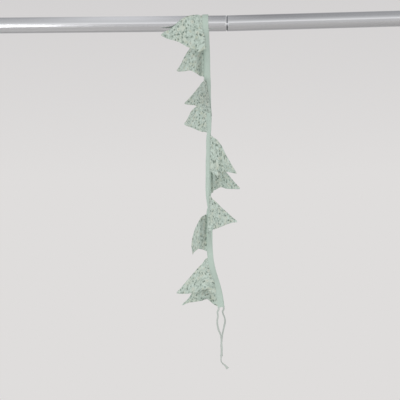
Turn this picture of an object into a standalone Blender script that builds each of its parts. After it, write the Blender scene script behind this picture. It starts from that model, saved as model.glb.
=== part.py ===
"""Fabric bunting folded over a chromed garment rail.

Ten printed cotton flags are sewn to one folded binding tape. The tape comes up in front of the rail, goes over
it and hangs down behind it, and a narrow tie runs on from each of its ends.

The origin is the middle of the rail's left end. +X runs along the rail, +Y goes away from the viewer and +Z is up.
Sizes and tables are in millimetres. In the tables, `across` is to the right of where the tape crosses the rail,
`drop` is below the rail's axis, and `depth` is behind it.
"""

import math

import bmesh
import bpy
import numpy as np
from mathutils import Vector

MM = 0.001
GAP = 0.3
WELD = 1e-7

# The garment rail: two 32 mm tubes in line, with the right one tilted up a little at the joint
RAIL_RADIUS = 16.0
RAIL_WALL = 1.4
RAIL_SIDES = 48
RAIL_LENGTH = 885.0
SEAM_AT = 492.3
SEAM_TILT = math.radians(1.04)
SEAM_GAP = 0.8
RIM_LENGTH = 1.2
RIM_DROP = 0.8
SPIGOT_LENGTH = 35.0
SPIGOT_RADIUS = 13.6
SHOULDER = 3.0

# The plain plug that closes each outer end
PLUG_FLANGE = 2.0
PLUG_DEPTH = 12.0
PLUG_FIT = 14.3
PLUG_CHAMFER = 0.6

# The binding tape, folded to 12 mm
TAPE_WIDTH = 12.0
TAPE_THICK = 2.2
TAPE_CLEAR = 0.5
TAPE_RADIUS = RAIL_RADIUS + TAPE_CLEAR + TAPE_THICK / 2
QUARTER_TURN = TAPE_RADIUS * math.pi / 2
RING_ON_RAIL = 4.0
RING_STEP = 10.0
HANG_AT = 450.0
SWING = 0.0096

# The flags, all of one cut
FLAG_BASE = 75.0
FLAG_HEIGHT = 88.0
FLAG_THICK = 1.2
FLAG_TIP = 2.4
SEW_GAP = 0.5
SEW_LEAD = 4.0
FLAG_STEPS = 12
FLAG_ROWS = 8
RAIL_FLAG_ROWS = 16

# The ties
TIE_DIAMETER = 3.6
TIE_STEP = 2.0 * TIE_DIAMETER
TIE_CORNER = 4.2

FRONT = -1
BACK = 1


def table(columns, *rows):
    """Rows of numbers as arrays under their column names."""
    return {name: np.array(column, float) for name, column in zip(columns.split(), zip(*rows))}


# How each strand of tape hangs. `turn` is the way its open edge faces, in degrees seen from above: 0 is to the
# left, 90 towards the viewer, 180 to the right and -90 away from the viewer.
STRANDS = {
    FRONT: table(
        "drop across turn",
        (0, -0.6, 0),
        (8, -0.1, 6),
        (15, 0.8, 24),
        (26, 2.6, 42),
        (45, 4.2, 50),
        (62, 4.5, 46),
        (80, 4.4, 38),
        (107, 4.4, 29),
        (123, 6.2, 45),
        (139, 7.4, 62),
        (161, 9.4, 80),
        (186, 10.6, 98),
        (207, 8.8, 112),
        (227, 6.2, 130),
        (265, 5.4, 130),
        (299, 4.8, 130),
        (331, 4.2, 128),
        (350, 4.6, 122),
        (367, 5.8, 108),
        (385, 7.2, 86),
        (405, 8.0, 70),
        (427, 8.4, 60),
        (447, 8.8, 36),
        (467, 9.6, 12),
        (478, 10.8, 15),
        (491, 13.6, 24),
        (504, 17.6, 32),
        (517, 21.8, 31),
        (532, 25.2, 22),
        (551, 28.2, 6),
        (570, 30.2, 0),
    ),
    BACK: table(
        "drop across turn",
        (0, 0.4, 0),
        (12, 1.2, 0),
        (51, 2.0, 0),
        (106, 2.8, -4),
        (126, 4.4, -25),
        (144, 6.8, -50),
        (183, 7.3, -50),
        (220, 7.3, -58),
        (244, 5.8, -105),
        (266, 5.8, -140),
        (304, 6.0, -156),
        (343, 6.0, -152),
        (363, 6.6, -100),
        (381, 7.9, -20),
        (420, 8.3, -8),
        (458, 8.9, 0),
        (481, 11.3, 0),
        (501, 15.8, 0),
        (519, 21.4, 0),
        (538, 26.7, 0),
        (554, 30.0, 0),
        (573, 32.6, 0),
    ),
}

# The flag at the rail lies over its front. `along` is the share of the flag's height out from the tape, the two
# runs are from the rail's top down the cloth to its upper and lower edges, and `lift` is off the plane of the tape.
RAIL_FLAG = table(
    "along across upper_run lower_run lift",
    (0.09, -12, 7, 87, 1.5),
    (0.20, -23, 6, 82, 1.0),
    (0.34, -35, 12, 78, 1.0),
    (0.48, -47, 19, 71, 1.3),
    (0.63, -59, 30, 65, 1.6),
    (0.78, -71, 41, 62, 2.2),
    (0.92, -82, 46, 58, 3.4),
    (1.00, -89, 52, 54, 4.8),
)

# The other flags hang from their upper corner, and what hangs below folds. A row is one line across the flag,
# from its upper edge to its lower edge, `along` the flag's height from the tape. The last row is the tip.
FLAG_COLUMNS = "along upper_across upper_drop upper_depth lower_across lower_drop lower_depth"
FRONT_FLAGS = (
    (9.0, None),
    (
        139.0,
        table(
            FLAG_COLUMNS,
            (0.12, -2, 116, -33, 7, 183, -36),
            (0.30, -8, 124, -48, -3, 175, -50),
            (0.50, -15, 135, -63, -13, 172, -64),
            (0.70, -24, 147, -76, -24, 170, -77),
            (0.86, -33, 158, -86, -32, 170, -86),
            (1.00, -41, 168, -95, -41, 168, -95),
        ),
    ),
    (
        254.0,
        table(
            FLAG_COLUMNS,
            (0.09, 15, 230, -25, 16, 307, -26),
            (0.21, 24, 237, -32, 24, 307, -34),
            (0.33, 31, 246, -29, 31, 301, -28),
            (0.57, 41, 267, -33, 42, 300, -31),
            (0.78, 51, 285, -39, 52, 302, -38),
            (1.00, 61, 303, -46, 61, 303, -46),
        ),
    ),
    (
        375.0,
        table(
            FLAG_COLUMNS,
            (0.16, 13, 352, -35, 14, 415, -35),
            (0.30, 21, 360, -44, 22, 412, -44),
            (0.50, 31, 370, -57, 32, 408, -55),
            (0.70, 43, 381, -69, 43, 403, -68),
            (0.86, 53, 390, -79, 53, 400, -79),
            (1.00, 61, 398, -87, 61, 398, -87),
        ),
    ),
    (
        499.0,
        table(
            FLAG_COLUMNS,
            (0.15, -4, 479, -22, 3, 535, -23),
            (0.36, -18, 494, -19, -15, 539, -20),
            (0.55, -30, 508, -16, -29, 542, -16),
            (0.74, -42, 522, -13, -42, 543, -13),
            (0.88, -52, 534, -11, -51, 543, -11),
            (1.00, -58, 541, -9, -58, 541, -9),
        ),
    ),
)
BACK_FLAGS = (
    (
        58.0,
        table(
            FLAG_COLUMNS,
            (0.10, -9, 29, 12, -10, 105, 13),
            (0.21, -17, 36, 5, -17, 101, 4),
            (0.42, -33, 49, 15, -31, 93, 14),
            (0.62, -43, 64, 28, -43, 93, 28),
            (0.82, -52, 79, 42, -52, 92, 42),
            (1.00, -59, 89, 54, -59, 89, 54),
        ),
    ),
    (
        172.5,
        table(
            FLAG_COLUMNS,
            (0.20, -8, 152, 35, -8, 216, 35),
            (0.40, -20, 164, 48, -20, 210, 48),
            (0.60, -30, 173, 62, -30, 205, 62),
            (0.80, -37, 187, 77, -37, 202, 77),
            (1.00, -44, 196, 92, -44, 196, 92),
        ),
    ),
    (
        295.0,
        table(
            FLAG_COLUMNS,
            (0.10, 15, 273, 17, 15, 338, 17),
            (0.20, 21, 280, 12, 22, 334, 13),
            (0.33, 30, 288, 7, 30, 330, 8),
            (0.53, 42, 300, 2, 42, 333, 2),
            (0.76, 55, 316, -4, 55, 334, -4),
            (1.00, 69, 333, -10, 69, 333, -10),
        ),
    ),
    (
        412.0,
        table(
            FLAG_COLUMNS,
            (0.10, -1, 386, 10, -2, 457, 17),
            (0.28, -10, 392, -3, -10, 455, 12),
            (0.44, -18, 407, 5, -14, 454, 13),
            (0.60, -24, 422, 15, -18, 457, 19),
            (0.80, -28, 444, 27, -24, 462, 28),
            (1.00, -26, 466, 35, -26, 466, 35),
        ),
    ),
    (
        526.0,
        table(
            FLAG_COLUMNS,
            (0.11, 9, 500, 15, 14, 565, 16),
            (0.21, 2, 507, 11, 5, 557, 12),
            (0.39, -9, 521, 6, -8, 559, 7),
            (0.62, -24, 538, 5, -23, 561, 5),
            (0.82, -35, 554, 7, -35, 563, 7),
            (1.00, -47, 567, 10, -47, 567, 10),
        ),
    ),
)

# The routes of the two ties, below the ends of the tape
TIE_ROUTES = {
    FRONT: table(
        "across drop depth",
        (24.0, 579, -17),
        (24.8, 587, -16),
        (23.6, 596, -15),
        (23.7, 604, -13),
        (24.8, 611, -11),
        (27.2, 619, -8),
        (30.2, 626, -5),
        (31.8, 634, -3),
        (32.1, 646, -2.4),
        (33.0, 656, -2.6),
        (32.4, 665, -2.6),
        (31.4, 673, -2.2),
        (31.4, 680, -1),
        (34.6, 685, 0),
        (39.4, 689, 1),
        (45.0, 696, 2),
    ),
    BACK: table(
        "across drop depth",
        (34.8, 582, 17),
        (36.2, 588, 16),
        (38.6, 594, 15),
        (39.7, 601, 14),
        (38.3, 609, 12),
        (36.2, 618, 9),
        (34.2, 627, 6),
        (32.6, 637, 3.4),
        (32.0, 648, 2.6),
        (32.6, 660, 2.4),
        (32.2, 671, 2.6),
    ),
}


def clear_scene():
    for obj in list(bpy.data.objects):
        bpy.data.objects.remove(obj, do_unlink=True)


def material(name, colour, roughness, metallic=0.0):
    """A Principled material. The colour is linear red, green and blue."""
    made = bpy.data.materials.new(name)
    made.use_nodes = True
    shader = made.node_tree.nodes["Principled BSDF"]
    shader.inputs["Base Color"].default_value = (*colour, 1.0)
    shader.inputs["Roughness"].default_value = roughness
    shader.inputs["Metallic"].default_value = metallic
    return made


def add_object(name, data, finish):
    obj = bpy.data.objects.new(name, data)
    obj.data.materials.append(finish)
    bpy.context.scene.collection.objects.link(obj)
    return obj


def add_mesh(name, mesh, finish):
    """Makes an object of a bmesh, smooth but for its sharp edges."""
    data = bpy.data.meshes.new(name)
    mesh.to_mesh(data)
    mesh.free()
    data.shade_smooth()
    data.set_sharp_from_angle(angle=math.radians(40))
    return add_object(name, data, finish)


def smooth(at, knots, values):
    """Reads, at the places `at`, the smooth curve that passes through the values at the knots."""
    at = np.asarray(at, float)
    slopes = np.gradient(values, knots, axis=0)
    left = np.clip(np.searchsorted(knots, at, side="right") - 1, 0, len(knots) - 2)
    width = knots[left + 1] - knots[left]
    share = (at - knots[left]) / width
    spread = np.shape(at) + (1,) * (values.ndim - 1)
    width = width.reshape(spread)
    share = share.reshape(spread)
    held = 1 - share
    return (
        held * held * (1 + 2 * share) * values[left]
        + share * share * (3 - 2 * share) * values[left + 1]
        + held * share * width * (held * slopes[left] - share * slopes[left + 1])
    )


def place(across, drop, depth):
    """A point of the hanging cloth, which swings a little off plumb to the left."""
    return Vector((HANG_AT + across - SWING * max(drop, 0.0), depth, -drop))


class Strand:
    """One half of the tape, from the rail's top to its end."""

    def __init__(self, side):
        self.side = side
        self.rows = STRANDS[side]
        self.drops = np.arange(0.0, self.rows["drop"][-1] + 0.5)
        points = np.array([self.hanging(drop) for drop in self.drops])
        steps = np.linalg.norm(np.diff(points, axis=0), axis=1)
        self.runs = QUARTER_TURN + np.concatenate([[0.0], np.cumsum(steps)])
        self.length = self.runs[-1]

    def hanging(self, drop):
        across = smooth(drop, self.rows["drop"], self.rows["across"])
        return place(float(across), drop, self.side * TAPE_RADIUS)

    def drop_at(self, run):
        """Distance below the rail's axis, which is less than zero on the rail."""
        if run < QUARTER_TURN:
            return -TAPE_RADIUS * math.cos(run / TAPE_RADIUS)
        return float(np.interp(run, self.runs, self.drops))

    def middle(self, run):
        """The middle of the tape at this run from the rail's top."""
        if run >= QUARTER_TURN:
            return self.hanging(self.drop_at(run))
        angle = run / TAPE_RADIUS
        across = self.rows["across"][0] * math.sin(angle)
        return place(across, self.drop_at(run), self.side * TAPE_RADIUS * math.sin(angle))

    def down(self, run):
        """The direction of the tape, away from the rail's top."""
        step = 0.5
        low = self.middle(min(run + step, self.length))
        high = self.middle(max(run - step, 0.0))
        return (low - high).normalized()

    def open_way(self, run):
        """The direction in which the open edge faces, square to the tape."""
        turn = math.radians(float(smooth(max(self.drop_at(run), 0.0), self.rows["drop"], self.rows["turn"])))
        level = Vector((-math.cos(turn), -math.sin(turn), 0.0))
        down = self.down(run)
        return (level - level.dot(down) * down).normalized()

    def outward(self, run):
        """Square to the tape's face, away from the rail at the top."""
        return self.down(run).cross(self.open_way(run)) * self.side


def tape_ring(strand, run):
    """The outline of the folded tape at this run: a closed fold on one side, an open edge on the other."""
    middle = strand.middle(run)
    open_way = strand.open_way(run)
    outward = strand.outward(run)
    half_width = TAPE_WIDTH / 2
    half_thick = TAPE_THICK / 2
    outline = (
        (-half_width, -0.4 * half_thick),
        (-half_width + half_thick, -half_thick),
        (half_width - 0.3 * half_thick, -half_thick),
        (half_width, -0.6 * half_thick),
        (half_width, 0.6 * half_thick),
        (half_width - 0.3 * half_thick, half_thick),
        (-half_width + half_thick, half_thick),
        (-half_width, 0.4 * half_thick),
    )
    return [middle + open_way * wide + outward * thick for wide, thick in outline]


def ring_runs(strand):
    """Where the rings of one strand lie, from the rail's top to the end."""
    on_rail = np.linspace(0.0, QUARTER_TURN, math.ceil(QUARTER_TURN / RING_ON_RAIL) + 1)
    count = math.ceil((strand.length - QUARTER_TURN) / RING_STEP)
    below = np.linspace(QUARTER_TURN, strand.length, count + 1)
    return list(on_rail) + list(below[1:])


def binding_tape(strands, finish):
    """The whole tape in one piece, from its front end over the rail to its back end."""
    front, back = strands[FRONT], strands[BACK]
    rings = [tape_ring(front, run) for run in reversed(ring_runs(front))]
    rings += [tape_ring(back, run) for run in ring_runs(back)[1:]]
    mesh = bmesh.new()
    loops = [[mesh.verts.new(point * MM) for point in ring] for ring in rings]
    for here, there in zip(loops, loops[1:]):
        for index in range(len(here)):
            after = (index + 1) % len(here)
            mesh.faces.new((here[index], here[after], there[after], there[index]))
    mesh.faces.new(loops[0])
    mesh.faces.new(list(reversed(loops[-1])))
    bmesh.ops.recalc_face_normals(mesh, faces=mesh.faces)
    return add_mesh("binding_tape", mesh, finish)


def root_lines(strand, run, rows):
    """The flag's sewn edge, and the narrower line a little way out in the plane of the tape."""
    lines = []
    for out in (0.0, SEW_LEAD):
        inset = out * FLAG_BASE / 2 / FLAG_HEIGHT
        reach = TAPE_WIDTH / 2 + SEW_GAP + out
        runs = np.linspace(run + inset, run + FLAG_BASE - inset, rows + 1)
        lines.append([strand.middle(at) + strand.open_way(at) * reach for at in runs])
    return lines


def straight_row(row, rows):
    """Points of one line across a hanging flag, from its upper edge to its lower edge."""
    upper = place(row["upper_across"], row["upper_drop"], row["upper_depth"])
    lower = place(row["lower_across"], row["lower_drop"], row["lower_depth"])
    if row["along"] == 1.0:
        upper = upper + Vector((0.0, 0.0, FLAG_TIP / 2))
        lower = lower - Vector((0.0, 0.0, FLAG_TIP / 2))
    return [upper.lerp(lower, share) for share in np.linspace(0.0, 1.0, rows + 1)]


def wrapped_row(strand, row, rows):
    """Points of one line across the flag that lies over the rail's front."""
    points = []
    for run in np.linspace(row["upper_run"], row["lower_run"], rows + 1):
        point = strand.middle(run)
        point.x = HANG_AT + row["across"]
        points.append(point + Vector((0.0, strand.side * row["lift"], 0.0)))
    return points


def flag(name, strand, run, folds, finish):
    """One flag, sewn to the tape at this run and hanging in the folds of its table."""
    on_rail = folds is None
    folds = RAIL_FLAG if on_rail else folds
    rows = RAIL_FLAG_ROWS if on_rail else FLAG_ROWS
    lines = root_lines(strand, run, rows)
    for index in range(len(folds["along"])):
        row = {column: values[index] for column, values in folds.items()}
        lines.append(wrapped_row(strand, row, rows) if on_rail else straight_row(row, rows))
    sewn = SEW_LEAD / FLAG_HEIGHT
    knots = np.concatenate([[0.0, sewn], folds["along"]])
    places = np.concatenate([[0.0], np.linspace(sewn, 1.0, FLAG_STEPS)])
    surface = smooth(places, knots, np.array(lines))

    mesh = bmesh.new()
    grid = [[mesh.verts.new(Vector(point) * MM) for point in line] for line in surface]
    for here, there in zip(grid, grid[1:]):
        for index in range(rows):
            mesh.faces.new((here[index], here[index + 1], there[index + 1], there[index]))
    obj = add_mesh(name, mesh, finish)
    cloth = obj.modifiers.new("two layers of cloth", "SOLIDIFY")
    cloth.thickness = FLAG_THICK * MM
    cloth.offset = 0.0
    return obj


def tie(name, strand, route, corner, finish):
    """A narrow tie that hangs from a corner of the tape's end."""
    end = strand.length
    down = strand.down(end)
    start = strand.middle(end) + strand.open_way(end) * corner + down * GAP
    points = [start, start + down * SEW_LEAD]
    points += [place(*row) for row in zip(route["across"], route["drop"], route["depth"])]
    points = np.array(points)
    lengths = np.concatenate([[0.0], np.cumsum(np.linalg.norm(np.diff(points, axis=0), axis=1))])
    count = round(lengths[-1] / TIE_STEP)
    line = smooth(np.concatenate([[0.0], np.linspace(lengths[1], lengths[-1], count)]), lengths, points)

    curve = bpy.data.curves.new(name, "CURVE")
    curve.dimensions = "3D"
    curve.bevel_depth = TIE_DIAMETER / 2 * MM
    curve.bevel_resolution = 2
    curve.use_fill_caps = True
    spline = curve.splines.new("POLY")
    spline.points.add(len(line) - 1)
    for point, where in zip(spline.points, line):
        point.co = (*(Vector(where) * MM), 1.0)
    spline.use_smooth = True
    return add_object(name, curve, finish)


def turned(name, profile, finish):
    """A piece turned about its own X axis from (along, radius) points. A profile that starts on the axis is solid."""
    solid = profile[0][1] == 0.0
    mesh = bmesh.new()
    points = [mesh.verts.new(Vector((along, 0.0, radius)) * MM) for along, radius in profile]
    pairs = list(zip(points, points[1:]))
    if not solid:
        pairs.append((points[-1], points[0]))
    edges = [mesh.edges.new(pair) for pair in pairs]
    bmesh.ops.spin(mesh, geom=points + edges, axis=(1, 0, 0), cent=(0, 0, 0), angle=math.tau, steps=RAIL_SIDES)
    bmesh.ops.remove_doubles(mesh, verts=mesh.verts, dist=WELD)
    bmesh.ops.recalc_face_normals(mesh, faces=mesh.faces)
    return add_mesh(name, mesh, finish)


def plug(name, finish):
    return turned(
        name,
        (
            (0.0, 0.0),
            (0.0, RAIL_RADIUS - PLUG_CHAMFER),
            (PLUG_CHAMFER, RAIL_RADIUS),
            (PLUG_FLANGE, RAIL_RADIUS),
            (PLUG_FLANGE, PLUG_FIT),
            (PLUG_DEPTH, PLUG_FIT),
            (PLUG_DEPTH, 0.0),
        ),
        finish,
    )


def garment_rail(chrome, plastic):
    """Two tubes that meet at the seam, where the right one's narrowed end slides into the left one."""
    bore = RAIL_RADIUS - RAIL_WALL
    start = PLUG_FLANGE + GAP
    turned(
        "rail_tube_left",
        (
            (start, RAIL_RADIUS),
            (SEAM_AT - RIM_LENGTH, RAIL_RADIUS),
            (SEAM_AT, RAIL_RADIUS - RIM_DROP),
            (SEAM_AT, bore),
            (start, bore),
        ),
        chrome,
    )
    plug("rail_plug_left", plastic)

    right_length = (RAIL_LENGTH - SEAM_AT - SEAM_GAP) / math.cos(SEAM_TILT)
    stop = right_length - PLUG_FLANGE - GAP
    right_tube = turned(
        "rail_tube_right",
        (
            (-SPIGOT_LENGTH, SPIGOT_RADIUS),
            (0.0, SPIGOT_RADIUS),
            (0.0, RAIL_RADIUS - RIM_DROP),
            (RIM_LENGTH, RAIL_RADIUS),
            (stop, RAIL_RADIUS),
            (stop, bore),
            (SHOULDER, bore),
            (0.0, SPIGOT_RADIUS - RAIL_WALL),
            (-SPIGOT_LENGTH, SPIGOT_RADIUS - RAIL_WALL),
        ),
        chrome,
    )
    right_plug = plug("rail_plug_right", plastic)
    seam = bpy.data.objects.new("seam", None)
    bpy.context.scene.collection.objects.link(seam)
    seam.location = (MM * (SEAM_AT + SEAM_GAP), 0.0, 0.0)
    seam.rotation_euler = (0.0, -SEAM_TILT, 0.0)
    right_tube.parent = seam
    right_plug.parent = seam
    right_plug.location = (right_length * MM, 0.0, 0.0)
    right_plug.rotation_euler = (0.0, math.pi, 0.0)


def main():
    clear_scene()
    chrome = material("chromed steel tube", (0.55, 0.55, 0.55), 0.18, 1.0)
    plastic = material("grey plastic plug", (0.25, 0.25, 0.25), 0.5)
    print_cotton = material("printed cotton", (0.42, 0.52, 0.44), 0.9)
    plain_cotton = material("plain cotton binding", (0.38, 0.50, 0.42), 0.85)

    garment_rail(chrome, plastic)
    strands = {side: Strand(side) for side in (FRONT, BACK)}
    binding_tape(strands, plain_cotton)
    for side, place_name, flags in ((FRONT, "front", FRONT_FLAGS), (BACK, "back", BACK_FLAGS)):
        for number, (run, folds) in enumerate(flags, 1):
            flag(f"flag_{place_name}_{number}", strands[side], run, folds, print_cotton)
    tie("tie_front", strands[FRONT], TIE_ROUTES[FRONT], TIE_CORNER, plain_cotton)
    tie("tie_back", strands[BACK], TIE_ROUTES[BACK], -TIE_CORNER, plain_cotton)


main()
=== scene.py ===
import math

import bpy
import numpy as np
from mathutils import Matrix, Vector, noise


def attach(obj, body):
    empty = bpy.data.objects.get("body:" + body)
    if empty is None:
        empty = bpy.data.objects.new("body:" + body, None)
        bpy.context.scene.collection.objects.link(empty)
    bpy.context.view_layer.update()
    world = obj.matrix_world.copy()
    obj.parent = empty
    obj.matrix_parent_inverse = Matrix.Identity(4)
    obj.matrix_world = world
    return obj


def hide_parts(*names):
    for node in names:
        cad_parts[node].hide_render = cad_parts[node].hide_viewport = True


# A fabric bunting of printed cotton flags, folded over a chromed garment rail.
# Sizes and tables are in millimetres. In the tables, `across` is to the right of where the tape crosses the
# rail, `drop` is below the rail's axis, and `depth` is behind it.
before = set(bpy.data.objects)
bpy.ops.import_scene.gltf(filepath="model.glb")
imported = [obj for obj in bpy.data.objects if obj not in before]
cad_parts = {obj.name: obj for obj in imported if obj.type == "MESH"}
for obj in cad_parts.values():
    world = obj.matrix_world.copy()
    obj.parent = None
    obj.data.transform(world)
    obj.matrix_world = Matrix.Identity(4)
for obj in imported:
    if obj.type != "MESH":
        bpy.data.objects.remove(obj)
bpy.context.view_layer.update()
bpy.ops.object.select_all(action="DESELECT")

MM = 0.001

# The camera: level with the middle of the picture, square to the rail, turned a little about its own axis
CAMERA_AT = (435.5, -2518.0, -355.3)
CAMERA_ROLL = 0.0096
CAMERA_LENS = 112.5
CAMERA_SENSOR = 36.0

# The garment rail
RAIL_RADIUS = 16.0
RAIL_WALL = 1.4
RAIL_SIDES = 128
RAIL_LENGTH = 885.0
SEAM_AT = 492.3
SEAM_TILT = math.radians(1.04)
SEAM_GAP = 0.8
RIM_LENGTH = 1.2
RIM_DROP = 0.8
RIM_ROUND = 0.3
RIM_HELD = 0.8
SPIGOT_LENGTH = 35.0
SPIGOT_RADIUS = 13.6
PLUG_FLANGE = 2.0
PLUG_DEPTH = 12.0
PLUG_FIT = 14.3
PLUG_ROUND = 0.6
GAP = 0.3

# The binding tape, folded to 12 mm
TAPE_WIDTH = 12.0
TAPE_THICK = 2.2
TAPE_CLEAR = 0.5
TAPE_RADIUS = RAIL_RADIUS + TAPE_CLEAR + TAPE_THICK / 2
QUARTER_TURN = TAPE_RADIUS * math.pi / 2
RING_STEP = 1.5
LIP_THICK = 0.62
FOLD_SHUT = 0.08
FOLD_OPEN = 0.48
FOLD_EASE = 4.0
WANDER = 0.18
WANDER_SPACING = 31.0
UNEVEN_WIDTH = 0.02
UNEVEN_SPACING = 17.0
HANG_AT = 450.0
SWING = 0.0096

# The topstitching
STITCH_LINE = 4.2
STITCH_LONG = 2.3
STITCH_PITCH = 2.9
STITCH_RADIUS = 0.21
STITCH_START = 1.2
STITCH_SUNK = 0.12
STITCH_SOFT = 0.12
STITCH_BOW = 0.10

# The flags, all of one cut
FLAG_BASE = 75.0
FLAG_HEIGHT = 88.0
FLAG_TIP = 2.4
FLAG_TUCK = 5.5
SEW_GAP = 0.5
SEW_LEAD = 4.0
FLAG_STEPS = 46
FLAG_ROWS = 36
RAIL_FLAG_ROWS = 52
HEM = 6.5
CUT_APART = 61.0
ROW_CROWDING = 0.12

# How the cloth of a flag ripples, in mm. A crumple is its height, its spacing out from the tape and along it,
# and a shift of its pattern. A pucker of the seam is its height, its spacing and how far it reaches.
CRUMPLES = ((1.5, 26.0, 19.0, 0.0), (0.4, 10.0, 8.0, 7.5))
CRUMPLE_START = 16.0
CRUMPLE_WIDE = 14.0
PUCKER = 0.22
PUCKER_SPACING = 6.3
PUCKER_START = 2.5
PUCKER_REACH = 7.0

# The ties
TIE_WIDTH = 3.9
TIE_THICK = 1.2
TIE_STEP = 1.5
TIE_CORNER = 4.2
TIE_TUCK = 3.0
TIE_SIDES = 12
TIE_NECK = 5.0
TIE_SPREAD = 0.9
TIE_SPREAD_REACH = 4.0

# The two strands of tape, by the side of the rail on which they hang
FRONT = -1
BACK = 1
WORDS = {FRONT: "front", BACK: "back"}


def table(columns, *rows):
    """Rows of numbers as arrays under their column names."""
    return {name: np.array(column, float) for name, column in zip(columns.split(), zip(*rows))}


# How each strand of tape hangs. `turn` is the way its open edge faces, in degrees seen from above: 0 is to
# the left, 90 towards the viewer, 180 to the right and -90 away from the viewer.
STRANDS = {
    FRONT: table(
        "drop across turn",
        (0, -0.6, 0), (8, -0.1, 6), (15, 0.8, 24), (26, 2.6, 42), (45, 4.2, 50), (62, 4.5, 46),
        (80, 4.4, 38), (107, 4.4, 29), (123, 6.2, 45), (139, 7.4, 62), (161, 9.4, 80),
        (186, 10.6, 98), (207, 8.8, 112), (227, 6.2, 130), (265, 5.4, 130), (299, 4.8, 130),
        (331, 4.2, 128), (350, 4.6, 122), (367, 5.8, 108), (385, 7.2, 86), (405, 8.0, 70),
        (427, 8.4, 60), (447, 8.8, 36), (467, 9.6, 12), (478, 10.8, 15), (491, 13.6, 24),
        (504, 17.6, 32), (517, 21.8, 31), (532, 25.2, 22), (551, 28.2, 6), (570, 30.2, 0),
    ),
    BACK: table(
        "drop across turn",
        (0, 0.4, 0), (12, 1.2, 0), (51, 2.0, 0), (106, 2.8, -4), (126, 4.4, -25), (144, 6.8, -50),
        (183, 7.3, -50), (220, 7.3, -58), (244, 5.8, -105), (266, 5.8, -140), (304, 6.0, -156),
        (343, 6.0, -152), (363, 6.6, -100), (381, 7.9, -20), (420, 8.3, -8), (458, 8.9, 0),
        (481, 11.3, 0), (501, 15.8, 0), (519, 21.4, 0), (538, 26.7, 0), (554, 30.0, 0),
        (573, 32.6, 0),
    ),
}

# The flag at the rail lies over its front. `along` is the share of the flag's height out from the tape, the
# two runs are from the rail's top down the cloth to its upper and lower edges, and `lift` is off the tape's
# plane.
RAIL_FLAG = table(
    "along across upper_run lower_run lift",
    (0.09, -12, 7, 87, 1.5),
    (0.20, -23, 6, 82, 1.0),
    (0.34, -35, 12, 78, 1.0),
    (0.48, -47, 19, 71, 1.3),
    (0.63, -59, 30, 65, 1.6),
    (0.78, -71, 41, 62, 2.2),
    (0.92, -82, 46, 58, 3.4),
    (1.00, -89, 52, 54, 4.8),
)


def hung(run, *rows):
    """A flag: how far down the tape its base starts, and its rows."""
    columns = "along upper_across upper_drop upper_depth lower_across lower_drop lower_depth"
    return run, table(columns, *rows)


# The other flags hang from their upper corner, and what hangs below folds. A row is one line across the flag,
# from its upper edge to its lower edge, `along` the flag's height from the tape. The last row is the tip.
FRONT_FLAGS = (
    (9.0, None),
    hung(
        139.0,
        (0.12, -2, 116, -33, 7, 183, -36),
        (0.30, -8, 124, -48, -3, 175, -50),
        (0.50, -15, 135, -63, -13, 172, -64),
        (0.70, -24, 147, -76, -24, 170, -77),
        (0.86, -33, 158, -86, -32, 170, -86),
        (1.00, -41, 168, -95, -41, 168, -95),
    ),
    hung(
        254.0,
        (0.09, 15, 230, -25, 16, 307, -26),
        (0.21, 24, 237, -32, 24, 307, -34),
        (0.33, 31, 246, -29, 31, 301, -28),
        (0.57, 41, 267, -33, 42, 300, -31),
        (0.78, 51, 285, -39, 52, 302, -38),
        (1.00, 61, 303, -46, 61, 303, -46),
    ),
    hung(
        375.0,
        (0.16, 13, 352, -35, 14, 415, -35),
        (0.30, 21, 360, -44, 22, 412, -44),
        (0.50, 31, 370, -57, 32, 408, -55),
        (0.70, 43, 381, -69, 43, 403, -68),
        (0.86, 53, 390, -79, 53, 400, -79),
        (1.00, 61, 398, -87, 61, 398, -87),
    ),
    hung(
        499.0,
        (0.15, -4, 479, -22, 3, 535, -23),
        (0.36, -18, 494, -19, -15, 539, -20),
        (0.55, -30, 508, -16, -29, 542, -16),
        (0.74, -42, 522, -13, -42, 543, -13),
        (0.88, -52, 534, -11, -51, 543, -11),
        (1.00, -58, 541, -9, -58, 541, -9),
    ),
)
BACK_FLAGS = (
    hung(
        58.0,
        (0.10, -9, 29, 12, -10, 105, 13),
        (0.21, -17, 36, 5, -17, 101, 4),
        (0.42, -33, 49, 15, -31, 93, 14),
        (0.62, -43, 64, 28, -43, 93, 28),
        (0.82, -52, 79, 42, -52, 92, 42),
        (1.00, -59, 89, 54, -59, 89, 54),
    ),
    hung(
        172.5,
        (0.20, -8, 152, 35, -8, 216, 35),
        (0.40, -20, 164, 48, -20, 210, 48),
        (0.60, -30, 173, 62, -30, 205, 62),
        (0.80, -37, 187, 77, -37, 202, 77),
        (1.00, -44, 196, 92, -44, 196, 92),
    ),
    hung(
        295.0,
        (0.10, 15, 273, 17, 15, 338, 17),
        (0.20, 21, 280, 12, 22, 334, 13),
        (0.33, 30, 288, 7, 30, 330, 8),
        (0.53, 42, 300, 2, 42, 333, 2),
        (0.76, 55, 316, -4, 55, 334, -4),
        (1.00, 69, 333, -10, 69, 333, -10),
    ),
    hung(
        412.0,
        (0.10, -1, 386, 10, -2, 457, 17),
        (0.28, -10, 392, -3, -10, 455, 12),
        (0.44, -18, 407, 5, -14, 454, 13),
        (0.60, -24, 422, 15, -18, 457, 19),
        (0.80, -28, 444, 27, -24, 462, 28),
        (1.00, -26, 466, 35, -26, 466, 35),
    ),
    hung(
        526.0,
        (0.11, 9, 500, 15, 14, 565, 16),
        (0.21, 2, 507, 11, 5, 557, 12),
        (0.39, -9, 521, 6, -8, 559, 7),
        (0.62, -24, 538, 5, -23, 561, 5),
        (0.82, -35, 554, 7, -35, 563, 7),
        (1.00, -47, 567, 10, -47, 567, 10),
    ),
)

FLAGS = {FRONT: FRONT_FLAGS, BACK: BACK_FLAGS}

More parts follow.
